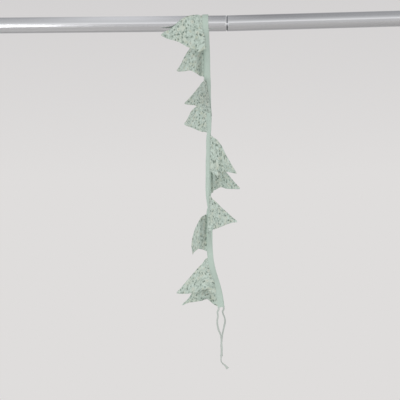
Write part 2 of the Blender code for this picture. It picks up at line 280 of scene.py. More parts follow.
# The routes of the two ties, below the ends of the tape
TIE_ROUTES = {
    FRONT: table(
        "across drop depth",
        (24.0, 579, -17), (24.8, 587, -16), (23.6, 596, -15), (23.7, 604, -13), (24.8, 611, -11),
        (27.2, 619, -8), (30.2, 626, -5), (31.8, 634, -3), (32.1, 646, -2.4), (33.0, 656, -2.6),
        (32.4, 665, -2.6), (31.4, 673, -2.2), (31.4, 680, -1), (34.6, 685, 0), (39.4, 689, 1),
        (45.0, 696, 2),
    ),
    BACK: table(
        "across drop depth",
        (34.8, 582, 17), (36.2, 588, 16), (38.6, 594, 15), (39.7, 601, 14), (38.3, 609, 12),
        (36.2, 618, 9), (34.2, 627, 6), (32.6, 637, 3.4), (32.0, 648, 2.6), (32.6, 660, 2.4),
        (32.2, 671, 2.6),
    ),
}

# How each tie twists on its way down, in degrees from the plane of the tape's end, by share of its length
TIE_TWISTS = {
    FRONT: table("share degrees", (0, 0), (0.2, 35), (0.45, -40), (0.7, 30), (0.86, 50), (0.94, 10), (1, 0)),
    BACK: table("share degrees", (0, 0), (0.25, -35), (0.5, 40), (0.75, 10), (1, -30)),
}


def smooth(at, knots, values):
    """Reads, at the places `at`, the smooth curve that passes through the values at the knots."""
    at = np.asarray(at, float)
    slopes = np.gradient(values, knots, axis=0)
    left = np.clip(np.searchsorted(knots, at, side="right") - 1, 0, len(knots) - 2)
    width = knots[left + 1] - knots[left]
    share = (at - knots[left]) / width
    spread = np.shape(at) + (1,) * (values.ndim - 1)
    width = width.reshape(spread)
    share = share.reshape(spread)
    held = 1 - share
    return (
        held * held * (1 + 2 * share) * values[left]
        + share * share * (3 - 2 * share) * values[left + 1]
        + held * share * width * (held * slopes[left] - share * slopes[left + 1])
    )


def ease(low, high, value):
    """0 below low, 1 above high, and smooth between them."""
    share = np.clip((value - low) / (high - low), 0.0, 1.0)
    return share * share * (3 - 2 * share)


def place(across, drop, depth):
    """A point of the hanging cloth, which swings a little off plumb to the left."""
    return Vector((HANG_AT + across - SWING * max(drop, 0.0), depth, -drop))


def lengths_along(points):
    """How far along a line of points each of them is."""
    steps = np.linalg.norm(np.diff(points, axis=0), axis=1)
    return np.concatenate([[0.0], np.cumsum(steps)])


class Strand:
    """One half of the tape, from the rail's top to its end."""

    def __init__(self, side):
        self.side = side
        self.rows = STRANDS[side]
        self.drops = np.arange(0.0, self.rows["drop"][-1] + 0.5)
        points = np.array([self.hanging(drop) for drop in self.drops])
        self.runs = QUARTER_TURN + lengths_along(points)
        self.length = self.runs[-1]

    def hanging(self, drop):
        """The middle of the tape this far below the rail's axis."""
        across = smooth(drop, self.rows["drop"], self.rows["across"])
        return place(float(across), drop, self.side * TAPE_RADIUS)

    def drop_at(self, run):
        """Distance below the rail's axis, which is less than zero on the rail."""
        if run < QUARTER_TURN:
            return -TAPE_RADIUS * math.cos(run / TAPE_RADIUS)
        return float(np.interp(run, self.runs, self.drops))

    def middle(self, run):
        """The middle of the tape at this run from the rail's top."""
        if run >= QUARTER_TURN:
            return self.hanging(self.drop_at(run))
        angle = run / TAPE_RADIUS
        across = self.rows["across"][0] * math.sin(angle)
        return place(across, self.drop_at(run), self.side * TAPE_RADIUS * math.sin(angle))

    def down(self, run):
        """The direction of the tape, away from the rail's top."""
        step = 0.5
        low = self.middle(min(run + step, self.length))
        high = self.middle(max(run - step, 0.0))
        return (low - high).normalized()

    def open_way(self, run):
        """The direction in which the open edge faces, square to the tape."""
        turn = math.radians(float(smooth(max(self.drop_at(run), 0.0), self.rows["drop"], self.rows["turn"])))
        level = Vector((-math.cos(turn), -math.sin(turn), 0.0))
        down = self.down(run)
        return (level - level.dot(down) * down).normalized()

    def outward(self, run):
        """Square to the tape's face, away from the rail at the top."""
        return self.down(run).cross(self.open_way(run)) * self.side


def linear(hex_colour):
    """An sRGB hex colour as linear red, green and blue, with full alpha."""
    parts = [int(hex_colour[at : at + 2], 16) / 255 for at in (1, 3, 5)]
    return (*(part / 12.92 if part <= 0.04045 else ((part + 0.055) / 1.055) ** 2.4 for part in parts), 1.0)


def add_node(tree, kind, inputs=None, **settings):
    """Adds a node with its own settings, and fills its sockets with values or links."""
    made = tree.nodes.new(kind)
    for name, value in settings.items():
        setattr(made, name, value)
    for socket, value in (inputs or {}).items():
        if isinstance(value, bpy.types.NodeSocket):
            tree.links.new(value, made.inputs[socket])
        else:
            made.inputs[socket].default_value = value
    return made


def new_material(name, **constants):
    """A Principled material with its plain values set on the shader's own sockets."""
    made = bpy.data.materials.new(name)
    made.use_nodes = True
    shader = made.node_tree.nodes["Principled BSDF"]
    for socket, value in constants.items():
        shader.inputs[socket.replace("_", " ")].default_value = value
    return made, made.node_tree, shader


def reckon(tree, operation, *values):
    """One sum on numbers and sockets."""
    return add_node(tree, "ShaderNodeMath", dict(enumerate(values)), operation=operation).outputs[0]


def remap(tree, value, low, high, to_low=0.0, to_high=1.0, **settings):
    """Takes low to to_low and high to to_high, with what lies outside held at the ends."""
    span = {"Value": value, "From Min": low, "From Max": high, "To Min": to_low, "To Max": to_high}
    return add_node(tree, "ShaderNodeMapRange", span, **settings).outputs["Result"]


def blotches(tree, spot, scale, detail, dimensions="2D"):
    """The outputs of a noise, on the flat cut unless three dimensions are asked for."""
    inputs = {"Vector": spot, "Scale": scale, "Detail": detail}
    return add_node(tree, "ShaderNodeTexNoise", inputs, noise_dimensions=dimensions).outputs


def emboss(tree, shader, height, strength, depth):
    """Raises the surface by a height, as fine detail up to this depth in mm."""
    inputs = {"Height": height, "Strength": strength, "Distance": depth * MM}
    relief = add_node(tree, "ShaderNodeBump", inputs)
    tree.links.new(relief.outputs["Normal"], shader.inputs["Normal"])


def turn_flat(tree, spot, angle):
    """Turns a place on the flat cut."""
    inputs = {"Vector": spot, "Angle": angle}
    return add_node(tree, "ShaderNodeVectorRotate", inputs, rotation_type="Z_AXIS").outputs[0]


def blend_colour(tree, factor, under, over):
    """One colour laid over another, as much as the factor says. A colour is a socket or sRGB hex."""
    under, over = (linear(colour) if isinstance(colour, str) else colour for colour in (under, over))
    mixed = add_node(tree, "ShaderNodeMix", {0: factor, 6: under, 7: over}, data_type="RGBA")
    return mixed.outputs[2]


def step_down(tree, value, full, none):
    """1 where the value is under `full`, 0 where it is over `none`."""
    return remap(tree, value, full, none, 1.0, 0.0, interpolation_type="SMOOTHSTEP")


# Where the edges of a motif fade, as shares of its size
LEAF_FADE = (0.55, 1.2)
PETAL_FADE = (0.85, 1.1)
PETAL_NOTCH = 0.22
HEART_FADE = (0.22, 0.34)
PICK_FADE = 0.02


def motif_cells(tree, cut, spacing, shift):
    """The place within the nearest motif, in mm and turned at random, and three random numbers."""
    cells = add_node(
        tree, "ShaderNodeVectorMath", {0: cut, 1: (1 / spacing, 1 / spacing, 0), 2: (shift, 1.7 * shift, 0)},
        operation="MULTIPLY_ADD",
    ).outputs[0]
    scatter = add_node(
        tree, "ShaderNodeTexVoronoi", {"Vector": cells, "Scale": 1.0, "Randomness": 0.9},
        voronoi_dimensions="2D", feature="F1",
    )
    off_centre = {0: cells, 1: scatter.outputs["Position"]}
    local = add_node(tree, "ShaderNodeVectorMath", off_centre, operation="SUBTRACT").outputs[0]
    in_mm = add_node(tree, "ShaderNodeVectorMath", {0: local, "Scale": spacing}, operation="SCALE").outputs[0]
    pick = add_node(tree, "ShaderNodeSeparateColor", {0: scatter.outputs["Color"]})
    angle = reckon(tree, "MULTIPLY", pick.outputs[0], math.tau)
    return turn_flat(tree, in_mm, angle), pick


def leaf_scatter(tree, cut, spacing, shift, half_long, half_wide, share):
    """A scatter of pointed leaves: 1 inside a leaf, 0 outside."""
    local, pick = motif_cells(tree, cut, spacing, shift)
    apart = add_node(tree, "ShaderNodeSeparateXYZ", {0: local})
    lengthwise = reckon(tree, "MULTIPLY", apart.outputs[0], 1 / half_long)
    squared = reckon(tree, "POWER", lengthwise, 2.0)
    off_rib = reckon(tree, "ABSOLUTE", apart.outputs[1])
    shape = reckon(tree, "MULTIPLY_ADD", off_rib, 1 / half_wide, squared)
    leaf = step_down(tree, shape, *LEAF_FADE)
    kept = step_down(tree, pick.outputs[1], share, share + PICK_FADE)
    return reckon(tree, "MULTIPLY", leaf, kept)


def blossom_scatter(tree, cut, spacing, shift, radius, petals, share):
    """A scatter of small open blossoms: the mask of the petals and that of the centres."""
    local, pick = motif_cells(tree, cut, spacing, shift)
    apart = add_node(tree, "ShaderNodeSeparateXYZ", {0: local})
    reach = add_node(tree, "ShaderNodeVectorMath", {0: local}, operation="LENGTH").outputs["Value"]
    around = reckon(tree, "ARCTAN2", apart.outputs[1], apart.outputs[0])
    lobes = reckon(tree, "COSINE", reckon(tree, "MULTIPLY", around, float(petals)))
    rim = reckon(tree, "MULTIPLY_ADD", lobes, PETAL_NOTCH * radius, (1 - PETAL_NOTCH) * radius)
    petal = step_down(tree, reckon(tree, "DIVIDE", reach, rim), *PETAL_FADE)
    kept = step_down(tree, pick.outputs[1], share, share + PICK_FADE)
    heart = step_down(tree, reach, *(fade * radius for fade in HEART_FADE))
    return reckon(tree, "MULTIPLY", petal, kept), reckon(tree, "MULTIPLY", heart, kept)


# Thread spacing is really about 0.3 mm. It is drawn at 0.7 mm, the finest that shows.
WEAVE_PITCH = 0.7
WEAVE_DEPTH = 0.08


def weave(tree, shader, cut, turn, fluff, fluff_height):
    """The relief of a plain weave turned on the cut: threads over and under, and the fluff of the yarn."""
    apart = add_node(tree, "ShaderNodeSeparateXYZ", {0: turn_flat(tree, cut, turn)})
    waves = [
        reckon(tree, "SINE", reckon(tree, "MULTIPLY", apart.outputs[axis], math.pi / WEAVE_PITCH))
        for axis in (0, 1)
    ]
    threads = reckon(tree, "MULTIPLY", *waves)
    emboss(tree, shader, reckon(tree, "MULTIPLY_ADD", fluff, fluff_height, threads), 0.5, WEAVE_DEPTH)


# The motifs of the print, in mm: their spacing, a shift of their pattern, their size, and the share of places
# that holds one. The size of a leaf is half its length and half its width, and that of a blossom its radius
# and its number of petals.
PALE_LEAVES = (8.5, 3.1, 2.8, 1.3, 0.8)
BLOSSOMS = (15.0, 11.3, 3.7, 5, 0.8)
OLIVE_LEAVES = (16.0, 23.9, 4.4, 2.2, 0.7)
DARK_LEAVES = (8.8, 7.7, 2.8, 1.7, 0.85)
DARK_SPRIGS = (11.5, 19.1, 2.1, 3, 0.8)
BEND = 1.6


def cotton_lawn_print():
    """Printed cotton lawn: a soft matt plain weave with a small all-over floral, its dyes sunk in."""
    made, tree, shader = new_material(
        "printed cotton lawn", Roughness=0.88, Sheen_Weight=0.12, Sheen_Roughness=0.5
    )
    cut = add_node(tree, "ShaderNodeUVMap", uv_map="cut").outputs["UV"]
    # The motifs are bent a little, so that no two are alike
    drift = blotches(tree, cut, 1 / 9.0, 1.0)["Color"]
    inputs = {0: drift, 1: (BEND, BEND, 0.0), 2: cut}
    bent = add_node(tree, "ShaderNodeVectorMath", inputs, operation="MULTIPLY_ADD").outputs[0]

    tinted = remap(tree, blotches(tree, cut, 1 / 17.0, 2.0)["Fac"], 0.46, 0.70, 0.0, 0.7)
    colour = blend_colour(tree, tinted, "#BBC9C0", "#C0C7B9")
    # Thin winding stems
    winding = blotches(tree, bent, 1 / 12.0, 1.0)["Fac"]
    for level in (0.42, 0.55):
        off_line = reckon(tree, "ABSOLUTE", reckon(tree, "SUBTRACT", winding, level))
        colour = blend_colour(tree, step_down(tree, off_line, 0.010, 0.045), colour, "#A0AEA4")
    petals, centres = blossom_scatter(tree, bent, *BLOSSOMS)
    for motif, ink in (
        (leaf_scatter(tree, bent, *PALE_LEAVES), "#A2B0A6"),
        (petals, "#C2C9BD"),
        (centres, "#A1AA9C"),
        (leaf_scatter(tree, bent, *OLIVE_LEAVES), "#B3BCAD"),
    ):
        colour = blend_colour(tree, motif, colour, ink)

    # The dark motifs are printed fainter in some patches of the cloth than in others
    inked = remap(tree, blotches(tree, cut, 1 / 16.0, 2.0)["Fac"], 0.38, 0.52, 0.35, 1.0)
    for motif, ink in (
        (leaf_scatter(tree, bent, *DARK_LEAVES), "#7C8A80"),
        (blossom_scatter(tree, bent, *DARK_SPRIGS)[0], "#6E7C73"),
    ):
        colour = blend_colour(tree, reckon(tree, "MULTIPLY", motif, inked), colour, ink)

    # The cloth is darker within about 1.6 mm of its pressed edges
    edge = add_node(tree, "ShaderNodeAttribute", attribute_name="edge_mm").outputs["Fac"]
    darker_edge = reckon(tree, "MULTIPLY", step_down(tree, edge, 0.3, 1.6), 0.22)
    colour = blend_colour(tree, darker_edge, colour, "#8C9C8F")
    tree.links.new(colour, shader.inputs["Base Color"])
    weave(tree, shader, cut, 0.0, blotches(tree, cut, 0.9, 3.0)["Fac"], 1.2)
    return made


def cotton_binding(name, dark, light, worn_colour):
    """Plain dyed cotton cut on the bias and pressed into a folded strip: matt, a little uneven in tone."""
    made, tree, shader = new_material(name, Roughness=0.85, Sheen_Weight=0.12, Sheen_Roughness=0.5)
    cut = add_node(tree, "ShaderNodeUVMap", uv_map="cut").outputs["UV"]
    tone = blotches(tree, cut, 1 / 22.0, 3.0)["Fac"]
    colour = blend_colour(tree, tone, dark, light)
    fibre = blotches(tree, cut, 1.4, 2.0)["Fac"]
    colour = blend_colour(tree, remap(tree, fibre, 0.5, 0.8, 0.0, 0.35), colour, worn_colour)
    tree.links.new(colour, shader.inputs["Base Color"])
    weave(tree, shader, cut, math.radians(45), fibre, 1.0)
    return made


def speckled(name, scale, detail, dark, light, relief=None, **constants):
    """A material with fine even specks of two tones, raised by the strength and depth of its relief."""
    made, tree, shader = new_material(name, **constants)
    spot = add_node(tree, "ShaderNodeTexCoord").outputs["Object"]
    specks = blotches(tree, spot, scale, detail, "3D")["Fac"]
    tree.links.new(blend_colour(tree, specks, dark, light), shader.inputs["Base Color"])
    if relief:
        emboss(tree, shader, specks, *relief)
    return made


def cotton_thread():
    """Spun cotton sewing thread, dyed to match the binding, with a slight sheen and its twist showing."""
    return speckled(
        "spun cotton thread", 2500.0, 1.0, "#A9BDB0", "#C6D6CB", (0.4, 0.05),
        Roughness=0.7, Sheen_Weight=0.2, Sheen_Roughness=0.4,
    )


# Painted shade at the joint of the two tubes: the rim just past it is darkened, which dulls its reflection
# there
SHADE_PAST = 1.2
SHADE_WIDE = 1.4


def chromed_steel():
    """Bright chrome plate on drawn steel tube: mirror metal, dulled a little by handling along its length."""
    made, tree, shader = new_material("chrome plated steel", Metallic=1.0)
    spot = add_node(tree, "ShaderNodeTexCoord").outputs["Object"]
    drawn = add_node(tree, "ShaderNodeMapping", {"Vector": spot, "Scale": (6.0, 45.0, 45.0)}).outputs[0]
    smear = blotches(tree, drawn, 1.0, 2.0, "3D")["Fac"]
    colour = blend_colour(tree, smear, "#DFE0E3", "#E5E6E8")
    along = add_node(tree, "ShaderNodeSeparateXYZ", {0: spot}).outputs[0]
    # painted shade: a darker band on the rim just past the joint, standing in for shade and a dimmer
    # reflection
    off_shade = reckon(tree, "ABSOLUTE", reckon(tree, "SUBTRACT", along, (SEAM_AT + SHADE_PAST) * MM))
    joint_shade = step_down(tree, off_shade, SHADE_WIDE / 2 * MM, SHADE_WIDE * MM)
    colour = blend_colour(tree, joint_shade, colour, "#7A7C7F")
    tree.links.new(colour, shader.inputs["Base Color"])
    tree.links.new(remap(tree, smear, 0.3, 0.75, 0.145, 0.175), shader.inputs["Roughness"])
    return made


def moulded_plastic():
    """Moulded grey polypropylene: a satin skin with a fine spark texture."""
    return speckled(
        "moulded polypropylene", 1200.0, 2.0, "#84868A", "#909296", (0.3, 0.05), Roughness=0.5, IOR=1.49
    )


def painted_floor():
    """Matt pale floor paint, even all over."""
    return speckled("matt pale floor paint", 3.0, 3.0, "#BFBDBB", "#C3C1BF", Roughness=0.9)


def pick_only(obj):
    """Makes this the one selected and active object."""
    bpy.ops.object.select_all(action="DESELECT")
    obj.select_set(True)
    bpy.context.view_layer.objects.active = obj


def add_cloth(name, points, faces, finish, flat=None, edge=None, levels=1):
    """Makes a closed cloth piece from points in metres, facing outwards, and rounds it by subdivision.

    The place of each point on the flat cut, in mm, is kept as the UV map, and its distance from the edge of
    the cloth as an attribute.
    """
    mesh = bpy.data.meshes.new(name)
    mesh.from_pydata(points, [], faces)
    if flat is not None:
        layer = mesh.uv_layers.new(name="cut")
        corners = np.empty(len(mesh.loops), dtype=np.int32)
        mesh.loops.foreach_get("vertex_index", corners)
        layer.data.foreach_set("uv", flat[corners].astype(np.float32).ravel())
    if edge is not None:
        kept = mesh.attributes.new("edge_mm", "FLOAT", "POINT")
        kept.data.foreach_set("value", edge.astype(np.float32))
    mesh.update()
    mesh.materials.append(finish)
    obj = bpy.data.objects.new(name, mesh)
    bpy.context.scene.collection.objects.link(obj)
    pick_only(obj)
    bpy.ops.object.mode_set(mode="EDIT")
    bpy.ops.mesh.select_all(action="SELECT")
    bpy.ops.mesh.normals_make_consistent(inside=False)
    bpy.ops.object.mode_set(mode="OBJECT")
    bpy.ops.object.shade_smooth()
    if levels:
        rounding = obj.modifiers.new("rounding", "SUBSURF")
        rounding.levels = levels
        rounding.render_levels = levels
        bpy.ops.object.modifier_apply(modifier=rounding.name)
    obj.select_set(False)
    return obj


def closed_grid(name, front, back, flat, edge, finish):
    """A closed sheet from the grids of its two faces."""
    steps, rows = front.shape[:2]
    number = np.arange(steps * rows).reshape(steps, rows)
    under = steps * rows
    faces = []
    for i in range(steps - 1):
        for j in range(rows - 1):
            a, b, c, d = number[i, j], number[i, j + 1], number[i + 1, j + 1], number[i + 1, j]
            faces.append((a, d, c, b))
            faces.append((a + under, b + under, c + under, d + under))
    rim = list(number[0, :]) + list(number[1:, -1]) + list(number[-1, -2::-1]) + list(number[-2:0:-1, 0])
    for here, there in zip(rim, rim[1:] + rim[:1]):
        faces.append((here, there, there + under, here + under))
    points = [tuple(point) for point in np.concatenate([front.reshape(-1, 3), back.reshape(-1, 3)]) * MM]
    faces = [tuple(int(index) for index in face) for face in faces]
    flat = np.concatenate([flat.reshape(-1, 2)] * 2)
    return add_cloth(name, points, faces, finish, flat, np.concatenate([edge.reshape(-1)] * 2))


def flag_lines(strand, run, folds, shares):
    """Lines of points across a flag, each at its own distance along the flag's height from the tape."""
    lines = []
    for out in (-FLAG_TUCK, 0.0, SEW_LEAD):
        inset = max(out, 0.0) * FLAG_BASE / 2 / FLAG_HEIGHT
        reach = TAPE_WIDTH / 2 + SEW_GAP + out
        runs = run + inset + (FLAG_BASE - 2 * inset) * shares
        lines.append([strand.middle(at) + strand.open_way(at) * reach for at in runs])
    on_rail = folds is None
    folds = RAIL_FLAG if on_rail else folds
    for index, along in enumerate(folds["along"]):
        row = {column: values[index] for column, values in folds.items()}
        if on_rail:
            runs = row["upper_run"] + (row["lower_run"] - row["upper_run"]) * shares
            line = [strand.middle(at) for at in runs]
            for point in line:
                point.x = HANG_AT + row["across"]
                point.y += strand.side * row["lift"]
        else:
            upper = place(row["upper_across"], row["upper_drop"], row["upper_depth"])
            lower = place(row["lower_across"], row["lower_drop"], row["lower_depth"])
            if along == 1.0:
                upper.z += FLAG_TIP / 2
                lower.z -= FLAG_TIP / 2
            line = [upper.lerp(lower, share) for share in shares]
        lines.append(line)
    knots = np.concatenate([[-FLAG_TUCK / FLAG_HEIGHT, 0.0, SEW_LEAD / FLAG_HEIGHT], folds["along"]])
    return knots, np.array(lines)


def flag_ripples(out, off_middle, half_base, seed):
    """How far the cloth of a flag stands off its smooth shape: its crumples and the puckers of its seam."""
    crumple = np.zeros(out.shape)
    for spot in np.ndindex(out.shape):
        for height, spacing_out, spacing_along, shift in CRUMPLES:
            at = Vector((out[spot] / spacing_out, off_middle[spot] / spacing_along, seed + shift))
            crumple[spot] += height * noise.noise(at)
    crumple *= ease(0.0, CRUMPLE_START, out) * (0.4 + 0.6 * ease(0.0, CRUMPLE_WIDE, half_base))
    pucker = PUCKER * np.sin(math.tau * off_middle / PUCKER_SPACING + seed)
    return crumple + pucker * ease(0.0, PUCKER_START, out) * np.exp(-np.maximum(out, 0) / PUCKER_REACH)


# The thickness of a pressed flag by distance from its edge, where the seam allowance lies inside
FLAG_LAYERS = table(
    "edge thick",
    (0.0, 0.45), (0.7, 0.85), (1.5, 0.78), (2.4, 0.92), (HEM, 0.92), (HEM + 1.2, 0.70),
    (60.0, 0.70),
)


def flag(name, strand, run, folds, seed, finish):
    """One flag of two layers, seamed and pressed, with its raw edge inside the folded tape."""
    rows = RAIL_FLAG_ROWS if folds is None else FLAG_ROWS
    even = np.linspace(0.0, 1.0, rows + 1)
    shares = even - ROW_CROWDING * np.sin(math.tau * even)
    knots, lines = flag_lines(strand, run, folds, shares)
    tucked = np.array([-FLAG_TUCK, -0.5 * FLAG_TUCK, -SEW_GAP, 0.5 * SEW_LEAD]) / FLAG_HEIGHT
    places = np.concatenate([tucked, np.linspace(SEW_LEAD / FLAG_HEIGHT, 1.0, FLAG_STEPS)])
    surface = smooth(places, knots, lines)

    out = places[:, None] * FLAG_HEIGHT + 0 * shares[None, :]
    free = np.clip(places, 0.0, 1.0)[:, None]
    half_base = (1 - free) * FLAG_BASE / 2 + free * FLAG_TIP / 2
    off_middle = (shares[None, :] - 0.5) * 2 * half_base
    slant = math.cos(math.atan(FLAG_BASE / 2 / FLAG_HEIGHT))
    edge = np.minimum((half_base - np.abs(off_middle)) * slant, np.maximum(FLAG_HEIGHT - out, 0.0))

    normal = np.cross(np.gradient(surface, axis=0), np.gradient(surface, axis=1))
    normal /= np.linalg.norm(normal, axis=2, keepdims=True)
    surface = surface + normal * flag_ripples(out, off_middle, half_base, seed)[:, :, None]
    half_thick = np.interp(edge, FLAG_LAYERS["edge"], FLAG_LAYERS["thick"]) / 2
    front = surface + normal * half_thick[:, :, None]
    back = surface - normal * half_thick[:, :, None]
    flat = np.stack([out, off_middle + CUT_APART * seed], axis=2)
    obj = closed_grid(name, front, back, flat, edge, finish)
    cut_area = (FLAG_BASE + FLAG_TIP) / 2 * FLAG_HEIGHT + FLAG_BASE * FLAG_TUCK
    return obj, (FLAG_BASE * MM, (FLAG_HEIGHT + FLAG_TUCK) * MM), cut_area * MM * MM


def fold_opening(strand, run):
    """How far the fold stands open at this run: wide over a flag's edge, nearly shut between flags."""
    opened = 0.0
    for start, _ in FLAGS[strand.side]:
        end = start + FLAG_BASE
        inside = ease(start - FOLD_EASE, start, run) * (1 - ease(end, end + FOLD_EASE, run))
        opened = max(opened, float(inside))
    return FOLD_SHUT + (FOLD_OPEN - FOLD_SHUT) * opened


def binding_outline(opening):
    """Half of the folded tape's section in mm, from the outside of the fold round a lip to its inside.

    A point is how far it is towards the open edge, and how far off the middle of the tape.
    """
    outer = opening + LIP_THICK
    shut = FOLD_SHUT + LIP_THICK
    half = TAPE_WIDTH / 2
    return (
        (-half, 0.0),
        (-half + 0.12, 0.62 * shut),
        (-half + 0.6, 0.93 * shut),
        (-3.4, shut),
        (-1.0, 0.45 * shut + 0.55 * outer),
        (1.2, outer),
        (STITCH_LINE - 0.5, outer),
        (STITCH_LINE, outer - 0.15),
        (STITCH_LINE + 0.5, outer),
        (half - 0.45, outer - 0.02),
        (half - 0.08, opening + 0.62 * LIP_THICK),
        (half, opening + 0.35 * LIP_THICK),
        (half - 0.15, opening + 0.05),
        (half - 0.6, opening),
        (0.6, opening),
        (-1.4, FOLD_SHUT),
        (-half + 0.9, 0.7 * FOLD_SHUT),
        (-half + 0.7, 0.0),
    )


def binding_ring(strand, run):
    """The section of the folded tape at this run, as points round it."""
    middle, open_way, outward = strand.middle(run), strand.open_way(run), strand.outward(run)
    upper = binding_outline(fold_opening(strand, run))
    wander = WANDER * noise.noise(Vector((run / WANDER_SPACING, 3.3 * strand.side, 0.4)))
    points = []
    for wide, thick in upper + tuple((wide, -thick) for wide, thick in upper[-2:0:-1]):
        uneven = noise.noise(Vector((run / UNEVEN_SPACING, 8.1 * strand.side, wide / 9)))
        stretch = 1.0 + UNEVEN_WIDTH * uneven
        points.append(middle + open_way * (wide * stretch) + outward * (thick + wander))
    return points


def folded_binding(strands, finish):
    """The whole folded tape, from its front end over the rail to its back end."""
    rings, runs = [], []
    for side, strand in strands.items():
        count = math.ceil(strand.length / RING_STEP)
        stations = np.linspace(0.0, strand.length, count + 1)
        for run in stations[::-1] if side == FRONT else stations[1:]:
            rings.append(binding_ring(strand, run))
            runs.append(side * run)
    around = len(rings[0])
    across = lengths_along(np.array(rings[len(rings) // 3]))
    points = [tuple(point * MM) for ring in rings for point in ring]
    flat = np.array([(across[index], run) for run in runs for index in range(around)])
    faces = []
    for ring in range(len(rings) - 1):
        for index in range(around):
            after = (index + 1) % around
            here, there = ring * around, (ring + 1) * around
            faces.append((here + index, here + after, there + after, there + index))
    for start in (0, (len(rings) - 1) * around):
        for index in range(around // 2):
            mirrored = (around - index) % around
            corners = [start + index, start + index + 1, start + around - index - 1, start + mirrored]
            corners = list(dict.fromkeys(corners))
            faces.append(tuple(corners if start == 0 else reversed(corners)))
    return add_cloth("folded_binding", points, faces, finish, flat, levels=0)


def topstitching(strands, finish):
    """The run of machine stitches that closes the folded tape, seen on both of its faces."""
    bpy.ops.mesh.primitive_cylinder_add(
        vertices=8, radius=STITCH_RADIUS * MM, depth=STITCH_LONG * MM, location=(0, 0, 0)
    )
    stitch = bpy.context.object
    bpy.ops.object.mode_set(mode="EDIT")
    bpy.ops.mesh.select_all(action="SELECT")
    bpy.ops.mesh.bevel(offset=STITCH_SOFT * MM, segments=1)
    bpy.ops.object.mode_set(mode="OBJECT")
    one = np.array([vertex.co for vertex in stitch.data.vertices]) / MM
    one_faces = [tuple(face.vertices) for face in stitch.data.polygons]
    bpy.data.objects.remove(stitch, do_unlink=True)
    points, faces = [], []
    for strand in strands.values():
        for run in np.arange(STITCH_START + STITCH_LONG, strand.length - STITCH_LONG, STITCH_PITCH):
            open_way, outward, down = strand.open_way(run), strand.outward(run), strand.down(run)
            high = fold_opening(strand, run) + LIP_THICK - STITCH_SUNK
            for face in (-1, 1):
                centre = strand.middle(run) + open_way * STITCH_LINE + outward * (face * high)
                base = len(points)
                for wide, thick, long in one:
                    bow = -STITCH_BOW * (2 * long / STITCH_LONG) ** 2 * face
                    point = centre + open_way * wide + outward * (thick + bow) + down * long
                    points.append(tuple(point * MM))
                faces += [tuple(base + index for index in corners) for corners in one_faces]
    return add_cloth("binding_topstitch", points, faces, finish, levels=0)


def tie_section(centre, wide, thick, from_tape, from_end):
    """Points round a flat tie: narrower where it leaves the tape, and a little spread at its cut end."""
    spread = 1.0 + TIE_SPREAD * math.exp(-from_end / TIE_SPREAD_REACH)
    neck = float(ease(0.0, TIE_NECK, from_tape))
    half_wide = TIE_WIDTH / 2 * spread * (0.6 + 0.4 * neck)
    half_thick = TIE_THICK / 2 / spread * (0.7 + 0.3 * neck)
    points = []
    for turn in range(TIE_SIDES):
        angle = math.tau * turn / TIE_SIDES
        flank = math.copysign(abs(math.cos(angle)) ** 0.55, math.cos(angle))
        face = math.copysign(abs(math.sin(angle)) ** 0.7, math.sin(angle))
        points.append(centre + wide * half_wide * flank + thick * half_thick * face)
    return points


def tie(name, strand, finish):
    """A narrow flat tie that hangs from a corner of the tape's end and ends in a cut, spread edge."""
    route, twists = TIE_ROUTES[strand.side], TIE_TWISTS[strand.side]
    end = strand.length
    down = strand.down(end)
    exit_point = strand.middle(end) + strand.open_way(end) * (-strand.side * TIE_CORNER)
    knots = [exit_point - down * TIE_TUCK, exit_point, exit_point + down * SEW_LEAD]
    knots = np.array(knots + [place(*row) for row in zip(route["across"], route["drop"], route["depth"])])
    lengths = lengths_along(knots)
    length = lengths[-1]
    stations = np.linspace(0.0, length, round(length / TIE_STEP) + 1)
    line = smooth(stations, lengths, knots)
    ways = np.gradient(line, axis=0)
    ways /= np.linalg.norm(ways, axis=1, keepdims=True)

    wide_way = np.array(strand.open_way(end))
    points, flat = [], []
    for station, centre, way in zip(stations, line, ways):
        wide_way = wide_way - wide_way.dot(way) * way
        wide_way /= np.linalg.norm(wide_way)
        twist = math.radians(float(smooth(station / length, twists["share"], twists["degrees"])))
        wide = math.cos(twist) * wide_way + math.sin(twist) * np.cross(way, wide_way)
        points += tie_section(centre, wide, np.cross(way, wide), station, length - station)
        flat += [(turn * TIE_WIDTH / 6, station) for turn in range(TIE_SIDES)]
    last = len(points) - TIE_SIDES
    faces = []
    for ring in range(0, last, TIE_SIDES):
        for turn in range(TIE_SIDES):
            here, after = ring + turn, ring + (turn + 1) % TIE_SIDES
            faces.append((here, after, after + TIE_SIDES, here + TIE_SIDES))
    faces += [tuple(range(TIE_SIDES)), tuple(reversed(range(last, len(points))))]
    obj = add_cloth(name, [tuple(point * MM) for point in points], faces, finish, np.array(flat))
    return obj, exit_point * MM, (length - TIE_TUCK) * MM, line * MM


def turned_skin(name, outline):
    """The outer skin of a round piece along +X, from its (along, radius) stations."""
    along, radius = outline[0]
    bpy.ops.mesh.primitive_circle_add(
        vertices=RAIL_SIDES, radius=radius * MM, location=(along * MM, 0, 0), rotation=(0, math.pi / 2, 0)
    )
    obj = bpy.context.object
    obj.name = name
    bpy.ops.object.transform_apply(location=True, rotation=True, scale=True)
    bpy.ops.object.mode_set(mode="EDIT")
    bpy.ops.mesh.select_all(action="SELECT")
    for next_along, next_radius in outline[1:]:
        bpy.ops.mesh.extrude_edges_move(TRANSFORM_OT_translate={"value": ((next_along - along) * MM, 0, 0)})
        ratio = next_radius / radius
        bpy.ops.transform.resize(value=(1, ratio, ratio), center_override=(next_along * MM, 0, 0))
        along, radius = next_along, next_radius
    bpy.ops.mesh.select_all(action="SELECT")
    bpy.ops.mesh.normals_make_consistent(inside=False)
    bpy.ops.object.mode_set(mode="OBJECT")
    return obj


